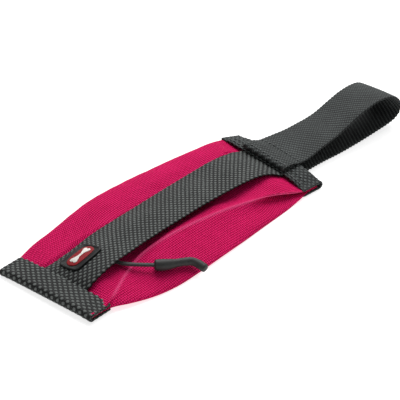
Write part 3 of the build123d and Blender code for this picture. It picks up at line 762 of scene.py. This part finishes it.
across_fold = np.linspace(-fold_w / 2, fold_w / 2, 116)
along_end = np.linspace(-body_w / 2, body_w / 2, 150)
near_binding = ribbon("near_binding_webbing", near_place, along_end, across_fold, webbing, *binding_weave)
far_binding = ribbon("far_binding_webbing", far_place, along_end, across_fold, loop_webbing, *strap_weave)


# ---- cover strap ----
strap = ribbon("cover_strap_webbing", strap_middle, np.linspace(-94, 94, 400),
               np.linspace(-web_w / 2, web_w / 2, 118), webbing, *strap_weave)

# ---- hand loop: one strip, from its rolled front edge over the binding, round the loop and back under ----
loop_points = np.array([
    (91, 9.15), (87, 9.1), (84.2, 9.05), (83.1, 9.2), (82.6, 9.9), (83.0, 10.6), (84.2, 10.85), (87, 10.8),
    (90.5, 10.6), (93.5, 9.7), (96, 9.15), (99.5, 9.0), (104, 9.0), (112, 9.8), (126, 11.9), (142, 15.4),
    (154, 19.2), (164, 21.5), (174, 21.8), (181, 20.2), (185.8, 16.6), (187.4, 12.2), (186, 8), (182, 5.2),
    (176, 3.7), (165, 2.6), (150, 1.7), (130, 1.0), (112, 0.85), (98, 0.8), (84, 0.8)])
rough = run_along(loop_points)
dense = np.linspace(0, rough[-1], 2400)
loop_dense = stack(*[through(rough, loop_points[:, k], dense) for k in range(2)])
loop_run = run_along(loop_dense)
loop_len = loop_run[-1]
top_start = np.interp(100, loop_dense[200:1500, 0], loop_run[200:1500])    # where it leaves the binding
loop_narrow, loop_hollow = 0.1, 0.6
loop_twist_s = [0, top_start, top_start + 22, top_start + 48, top_start + 68, top_start + 92,
                top_start + 112, top_start + 135, loop_len]
loop_twist = [0, 0, 4, 11, 9, 3, 4, 2, 0]    # degrees


def loop_place(s, t):
    """The hand loop twists a little, narrows where it is free and is hollow across."""
    x = np.interp(s, loop_run, loop_dense[:, 0])
    z = np.interp(s, loop_run, loop_dense[:, 1])
    turn = np.radians(through(loop_twist_s, loop_twist, s))
    free_s = ease(s, top_start, top_start + 20) * (1 - ease(s, loop_len - 40, loop_len - 10))
    t = t * (1 - loop_narrow * free_s)
    bend = loop_hollow * np.square(t / (web_w / 2)) * free_s
    return settle(stack(x, t * np.cos(turn), z - t * np.sin(turn) - bend))


loop = ribbon("hand_loop_webbing", loop_place, np.linspace(0, loop_len, 480),
              np.linspace(-web_w / 2, web_w / 2, 104), loop_webbing, *loop_weave, shift=loop_step,
              depth=loop_depth)


# ---- label: a moulded patch on the strap with a generic bone motif ----
label_l, label_w, label_x, label_y = 21.0, 15.2, -64.5, 4.2
badge_l, badge_w, label_corner, badge_corner = 17.0, 9.2, 1.6, 3.8
sunk = 0.1                          # how far the patch sits in the webbing


def on_strap(a, b, h):
    """A point of the label, a and b from its middle and h over the strap."""
    x, t, step = label_x + a, label_y + b, 0.2
    here = strap_middle(x, t)
    normal = unit(np.cross(strap_middle(x + step, t) - here, strap_middle(x, t + step) - here))
    return here + normal * (h + web_t / 2 - sunk)[..., None]


label = slab("label_patch", [rounded(label_l - 2 * d, label_w - 2 * d, max(label_corner - d, 0.5))
                             for d in (0, 0, 0.12, 0.45, 0.95, 1.15, 1.25, 3.2, 5.2)],
             [-0.1, 0.75, 0.95, 1.1, 1.1, 1.02, 0.85, 0.85, 0.85], on_strap, rubber)
badge = slab("label_badge_field", [rounded(badge_l - 2 * d, badge_w - 2 * d, max(badge_corner - d, 0.4), 72)
                                   for d in (0, 0, 0.12, 0.4, 1.6, 3.2)],
             [0.8, 1.08, 1.2, 1.27, 1.3, 1.32], on_strap, red_rubber)


shank_half_l, shank_half_w = 4.6, 0.8
knob_x, knob_y, knob_r = 4.9, 1.15, 1.3


def bone_outline(scale):
    """A plain bone: a shank with two round knobs at each end."""
    angle = np.linspace(0, math.tau, 120, endpoint=False) + 0.013    # starts just off the axis
    way = stack(np.cos(angle), np.sin(angle))
    reach = np.linspace(0, 8, 1601)
    spots = way[:, None] * reach[None, :, None]
    inside = (np.abs(spots[..., 1]) < shank_half_w) & (np.abs(spots[..., 0]) < shank_half_l)
    for side_x in (-knob_x, knob_x):
        for side_y in (-knob_y, knob_y):
            inside |= np.hypot(spots[..., 0] - side_x, spots[..., 1] - side_y) < knob_r
    far = np.array([reach[row].max() for row in inside])
    return way * far[:, None] * scale


bone = slab("label_bone", [bone_outline(k) for k in (1, 1, 0.97, 0.6)], [1.2, 1.5, 1.58, 1.6], on_strap,
            white_rubber)


# ---- sewing ----
def sew(name, place, rows, material, length=2.4, lift=0.62):
    """Stitches along rows of flat coordinates (s, t) on a placed strip; each row gives its own direction."""
    spots, ways, normals = [], [], []
    for s, t, along_s in rows:
        s, t, step = np.array([s]), np.array([t]), 0.3
        here = place(s, t)
        ds, dt = place(s + step, t) - here, place(s, t + step) - here
        normal = unit(np.cross(ds, dt))
        spots.append((here + normal * lift)[0])
        ways.append(unit(ds if along_s else dt)[0])
        normals.append(normal[0])
    return thread_row(name, spots, ways, normals, length, material)


stitch_gap = 3.4
seam_rows = (15.0, 10.6)            # across each folded binding, from its middle
near_rows = [(y, t, True) for t in seam_rows for y in np.arange(-32.3, 32.4, stitch_gap)]
far_rows = [(side * y, t, True) for t in seam_rows for side in (-1, 1)
            for y in np.arange(19.2, 32.6, stitch_gap)]
# two seams across the tab: behind its rolled front edge, and near the pouch's end
front_x, front_z, rear_x = 84.9, 10.2, 96.6
top_side = np.arange(1500)
front_s = loop_run[np.argmin(np.abs(loop_dense[:900, 0] - front_x) + 5 * (loop_dense[:900, 1] < front_z))]
rear_s = loop_run[np.argmin(np.abs(loop_dense[:1500, 0] - rear_x) + 50 * (top_side > 1200))]
tab_rows = [(s, y, False) for s in (front_s, rear_s) for y in np.arange(-15.3, 15.4, stitch_gap)]
# the binding's and the tab's normals point out of the fold, so the outer side carries the thread
near_sewing = sew("near_binding_sewing", near_place, near_rows, thread)
far_sewing = sew("far_binding_sewing", far_place, far_rows, thread)
tab_sewing = sew("loop_tab_sewing", loop_place, tab_rows, thread)

# ---- what rides on what ----
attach(cord, "pull")
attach(sleeve, "pull")
for piece in (*tapes, lining, pouch, near_binding, far_binding, strap, label, badge, bone, near_sewing,
              far_sewing, tab_sewing):
    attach(piece, "pouch")
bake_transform(loop)
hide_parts("pull_cord")
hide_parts("pull_sleeve")
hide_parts("outer_cloth")
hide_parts("lining")
for tape_piece, node in zip(tapes, ("zip_tape_left", "zip_tape_right")):
    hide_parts(node)
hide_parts("near_binding")
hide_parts("far_binding")
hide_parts("cover_strap")
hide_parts("hand_loop", "loop_tab", "loop_foot")
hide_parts("label")
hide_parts("label_badge")
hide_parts("near_binding_stitches")
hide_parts("far_binding_stitches")
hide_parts("loop_tab_stitches")

# ---- floor and light ----
floor_mesh = bpy.data.meshes.new("floor")
floor_half = 4.0
floor_mesh.from_pydata([(x * floor_half, y * floor_half, 0) for x, y in ((-1, -1), (1, -1), (1, 1), (-1, 1))],
                       [], [(0, 1, 2, 3)])
floor_material, _, floor_shader = new_material("white_paper", Roughness=0.9)
floor_shader.inputs["Base Color"].default_value = (0.55, 0.55, 0.55, 1)
floor_shader.inputs["Emission Color"].default_value = (1, 1, 1, 1)
floor_shader.inputs["Emission Strength"].default_value = 0.74
floor_mesh.materials.append(floor_material)
floor = bpy.data.objects.new("floor", floor_mesh)
scene.collection.objects.link(floor)

world = bpy.data.worlds.new("studio")
scene.world = world
world.use_nodes = True
world.node_tree.nodes["Background"].inputs["Color"].default_value = (1, 1, 1, 1)
world.node_tree.nodes["Background"].inputs["Strength"].default_value = 0.33


lit_point = Vector((0.04, 0, 0))


def softbox(name, place, size, power):
    """A square lamp that faces the bumper."""
    data = bpy.data.lights.new(name, "AREA")
    data.shape, data.size, data.energy = "SQUARE", size, power
    lamp = bpy.data.objects.new(name, data)
    lamp.location = place
    lamp.rotation_mode = "QUATERNION"
    lamp.rotation_quaternion = (Vector(place) - lit_point).to_track_quat("Z", "Y")
    scene.collection.objects.link(lamp)


softbox("key", (0.8, 0.65, 1.4), 1.6, 38)
softbox("fill", (0.9, -1.0, 0.7), 1.2, 1.6)
scene.view_settings.view_transform = "Standard"
